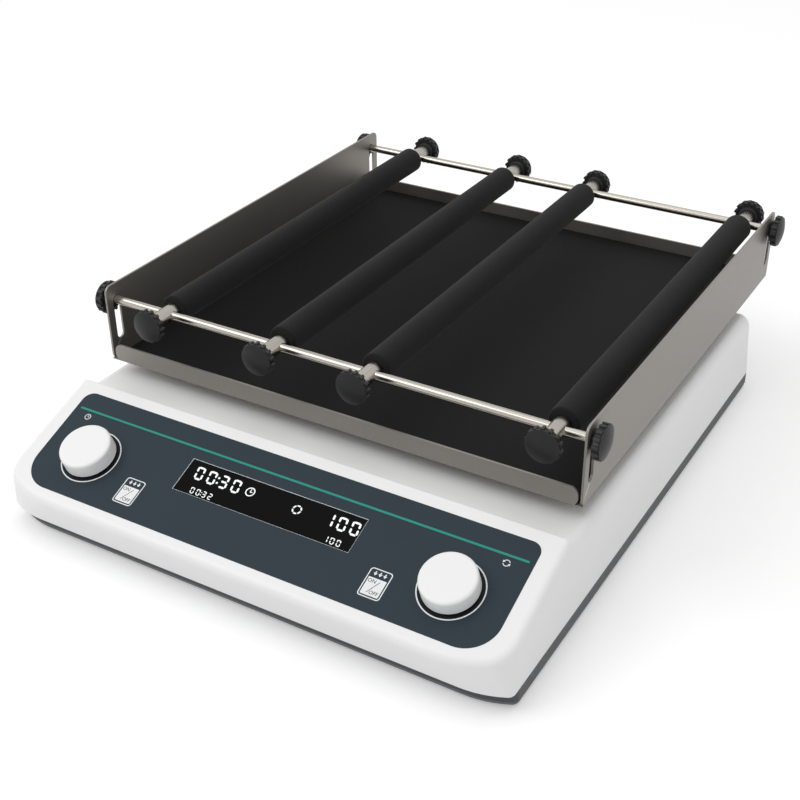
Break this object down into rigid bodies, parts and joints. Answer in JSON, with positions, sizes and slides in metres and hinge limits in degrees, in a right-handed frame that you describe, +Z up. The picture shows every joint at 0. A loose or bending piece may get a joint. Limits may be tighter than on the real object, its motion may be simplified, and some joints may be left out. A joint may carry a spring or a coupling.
{
  "type": "orbital shaker",
  "caption": "Bench orbital shaker with a sloping control panel, push dials, a display and a steel tray with padded clamp bars on height-set rails.",
  "frame": {"origin": "bottom centre of the whole machine's footprint, on the bench, with the crank pin at the back of its circle", "axes": "+Z up, -Y towards the user and the control panel, +X to the user's right"},
  "size_m": [0.373, 0.4784, 0.1286],
  "materials": {
    "shell_white": "satin white moulding",
    "overlay_film": "smooth dark slate film",
    "window_clear": "clear lens over a black display",
    "electronics": "circuit board with parts",
    "pan_grey": "dark grey powder coat",
    "plate_grey": "grey paint on sheet steel",
    "foot_rubber": "matte black rubber",
    "casting": "as cast",
    "machined_alloy": "turned",
    "steel_bright": "polished steel",
    "tray_steel": "warm brushed stainless sheet",
    "bearing_steel": "ground steel",
    "weight_iron": "dark cast iron",
    "belt_rubber": "ribbed rubber",
    "mat_rubber": "fine matte rubber",
    "foam_black": "closed-cell foam, matte",
    "knob_black": "satin black moulding",
    "dial_white": "satin white moulding",
    "motor_black": "black coated can",
    "socket_black": "black nylon"
  },
  "bodies": {
    "housing": {"top_shell": "shell_white", "panel_overlay": "overlay_film", "display_window": "window_clear", "display_module": "electronics", "control_board": "electronics", "power_board": "electronics", "base_pan": "pan_grey", "bottom_plate": "plate_grey", "rubber_feet": "foot_rubber", "drive_frame": "casting", "frame_bearings": "bearing_steel", "frame_screws": "steel_bright", "motor_body": "motor_black", "drive_belt": "belt_rubber", "shell_screws": "steel_bright", "encoders": "steel_bright", "mains_inlet": "socket_black", "switch_frame": "socket_black"},
    "crank": {"crank_shaft": "steel_bright", "crank_pulley": "machined_alloy", "counterweight": "weight_iron"},
    "motor_rotor": {"motor_shaft": "steel_bright", "motor_pulley": "machined_alloy"},
    "idler_1": {"idler_crank_1": "steel_bright"},
    "idler_2": {"idler_crank_2": "steel_bright"},
    "idler_3": {"idler_crank_3": "steel_bright"},
    "platform": {"carrier": "casting", "carrier_bearings": "bearing_steel", "tray": "tray_steel", "tray_mat": "mat_rubber", "tray_screws": "steel_bright"},
    "rails": {"front_rail": "steel_bright", "back_rail": "steel_bright"},
    "rocker": {"power_rocker": "socket_black"},
    "bar_1": {"bar_core_1": "steel_bright", "foam_sleeve_1": "foam_black"},
    "bar_1_front_knob": {"bar_1_front_knob": "knob_black"},
    "bar_1_back_knob": {"bar_1_back_knob": "knob_black"},
    "bar_2": {"bar_core_2": "steel_bright", "foam_sleeve_2": "foam_black"},
    "bar_2_front_knob": {"bar_2_front_knob": "knob_black"},
    "bar_2_back_knob": {"bar_2_back_knob": "knob_black"},
    "bar_3": {"bar_core_3": "steel_bright", "foam_sleeve_3": "foam_black"},
    "bar_3_front_knob": {"bar_3_front_knob": "knob_black"},
    "bar_3_back_knob": {"bar_3_back_knob": "knob_black"},
    "bar_4": {"bar_core_4": "steel_bright", "foam_sleeve_4": "foam_black"},
    "bar_4_front_knob": {"bar_4_front_knob": "knob_black"},
    "bar_4_back_knob": {"bar_4_back_knob": "knob_black"},
    "front_left_rail_knob": {"front_left_rail_knob": "knob_black"},
    "front_right_rail_knob": {"front_right_rail_knob": "knob_black"},
    "back_left_rail_knob": {"back_left_rail_knob": "knob_black"},
    "back_right_rail_knob": {"back_right_rail_knob": "knob_black"},
    "plunger_left": {"encoder_plunger_left": "steel_bright"},
    "dial_left": {"control_knob_left": "dial_white", "encoder_shaft_left": "steel_bright"},
    "plunger_right": {"encoder_plunger_right": "steel_bright"},
    "dial_right": {"control_knob_right": "dial_white", "encoder_shaft_right": "steel_bright"}
  },
  "joints": [
    {"name": "crank_spin", "type": "hinge", "parent": "housing", "child": "crank", "pos_m": [0, 0.04455, 0], "axis": [0, 0, 1], "continuous": true},
    {"name": "platform_orbit", "type": "hinge", "parent": "crank", "child": "platform", "pos_m": [0, 0.04955, 0], "axis": [0, 0, 1], "continuous": true},
    {"name": "motor_spin", "type": "hinge", "parent": "housing", "child": "motor_rotor", "pos_m": [0, -0.07045, 0], "axis": [0, 0, 1], "continuous": true},
    {"name": "idler_1_spin", "type": "hinge", "parent": "housing", "child": "idler_1", "pos_m": [0, 0.14655, 0], "axis": [0, 0, 1], "continuous": true},
    {"name": "idler_2_spin", "type": "hinge", "parent": "housing", "child": "idler_2", "pos_m": [0.08833, -0.00645, 0], "axis": [0, 0, 1], "continuous": true},
    {"name": "idler_3_spin", "type": "hinge", "parent": "housing", "child": "idler_3", "pos_m": [-0.08833, -0.00645, 0], "axis": [0, 0, 1], "continuous": true},
    {"name": "rail_height", "type": "slide", "parent": "platform", "child": "rails", "axis": [0, 0, 1], "range_m": [-0.023, 0]},
    {"name": "bar_1_slide", "type": "slide", "parent": "rails", "child": "bar_1", "axis": [1, 0, 0], "range_m": [-0.0336, 0.05929]},
    {"name": "bar_1_front_turn", "type": "hinge", "parent": "bar_1", "child": "bar_1_front_knob", "pos_m": [-0.1304, -0.13055, 0.1165], "axis": [0, -1, 0], "continuous": true},
    {"name": "bar_1_back_turn", "type": "hinge", "parent": "bar_1", "child": "bar_1_back_knob", "pos_m": [-0.1304, 0.22965, 0.1165], "axis": [0, 1, 0], "continuous": true},
    {"name": "bar_2_slide", "type": "slide", "parent": "rails", "child": "bar_2", "axis": [1, 0, 0], "range_m": [-0.05929, 0.04189]},
    {"name": "bar_2_front_turn", "type": "hinge", "parent": "bar_2", "child": "bar_2_front_knob", "pos_m": [-0.04261, -0.13055, 0.1165], "axis": [0, -1, 0], "continuous": true},
    {"name": "bar_2_back_turn", "type": "hinge", "parent": "bar_2", "child": "bar_2_back_knob", "pos_m": [-0.04261, 0.22965, 0.1165], "axis": [0, 1, 0], "continuous": true},
    {"name": "bar_3_slide", "type": "slide", "parent": "rails", "child": "bar_3", "axis": [1, 0, 0], "range_m": [-0.04189, 0.09812]},
    {"name": "bar_3_front_turn", "type": "hinge", "parent": "bar_3", "child": "bar_3_front_knob", "pos_m": [0.02778, -0.13055, 0.1165], "axis": [0, -1, 0], "continuous": true},
    {"name": "bar_3_back_turn", "type": "hinge", "parent": "bar_3", "child": "bar_3_back_knob", "pos_m": [0.02778, 0.22965, 0.1165], "axis": [0, 1, 0], "continuous": true},
    {"name": "bar_4_slide", "type": "slide", "parent": "rails", "child": "bar_4", "axis": [1, 0, 0], "range_m": [-0.09812, 0.0096]},
    {"name": "bar_4_front_turn", "type": "hinge", "parent": "bar_4", "child": "bar_4_front_knob", "pos_m": [0.1544, -0.13055, 0.1165], "axis": [0, -1, 0], "continuous": true},
    {"name": "bar_4_back_turn", "type": "hinge", "parent": "bar_4", "child": "bar_4_back_knob", "pos_m": [0.1544, 0.22965, 0.1165], "axis": [0, 1, 0], "continuous": true},
    {"name": "front_left_rail_turn", "type": "hinge", "parent": "rails", "child": "front_left_rail_knob", "pos_m": [-0.177, -0.11615, 0.1165], "axis": [-1, 0, 0], "continuous": true},
    {"name": "front_right_rail_turn", "type": "hinge", "parent": "rails", "child": "front_right_rail_knob", "pos_m": [0.177, -0.11615, 0.1165], "axis": [1, 0, 0], "continuous": true},
    {"name": "back_left_rail_turn", "type": "hinge", "parent": "rails", "child": "back_left_rail_knob", "pos_m": [-0.177, 0.21525, 0.1165], "axis": [-1, 0, 0], "continuous": true},
    {"name": "back_right_rail_turn", "type": "hinge", "parent": "rails", "child": "back_right_rail_knob", "pos_m": [0.177, 0.21525, 0.1165], "axis": [1, 0, 0], "continuous": true},
    {"name": "push_left", "type": "slide", "parent": "housing", "child": "plunger_left", "axis": [0, 0.3551, -0.9348], "range_m": [0, 0.001], "stiffness_N_per_m": 2000, "springref_m": -0.001},
    {"name": "dial_left", "type": "hinge", "parent": "plunger_left", "child": "dial_left", "pos_m": [-0.1324, -0.20158, 0.05104], "axis": [0, -0.3551, 0.9348], "continuous": true},
    {"name": "push_right", "type": "slide", "parent": "housing", "child": "plunger_right", "axis": [0, 0.3551, -0.9348], "range_m": [0, 0.001], "stiffness_N_per_m": 2000, "springref_m": -0.001},
    {"name": "dial_right", "type": "hinge", "parent": "plunger_right", "child": "dial_right", "pos_m": [0.1324, -0.20158, 0.05104], "axis": [0, -0.3551, 0.9348], "continuous": true},
    {"name": "power_rock", "type": "hinge", "parent": "housing", "child": "rocker", "pos_m": [-0.1, 0.17992, 0.03692], "axis": [1, 0, 0], "range_deg": [-22, 0]}
  ],
  "couplings": [
    {"joint": "platform_orbit", "follows": "crank_spin", "ratio": -1},
    {"joint": "motor_spin", "follows": "crank_spin", "ratio": 3},
    {"joint": "idler_1_spin", "follows": "crank_spin", "ratio": 1},
    {"joint": "idler_2_spin", "follows": "crank_spin", "ratio": 1},
    {"joint": "idler_3_spin", "follows": "crank_spin", "ratio": 1}
  ]
}
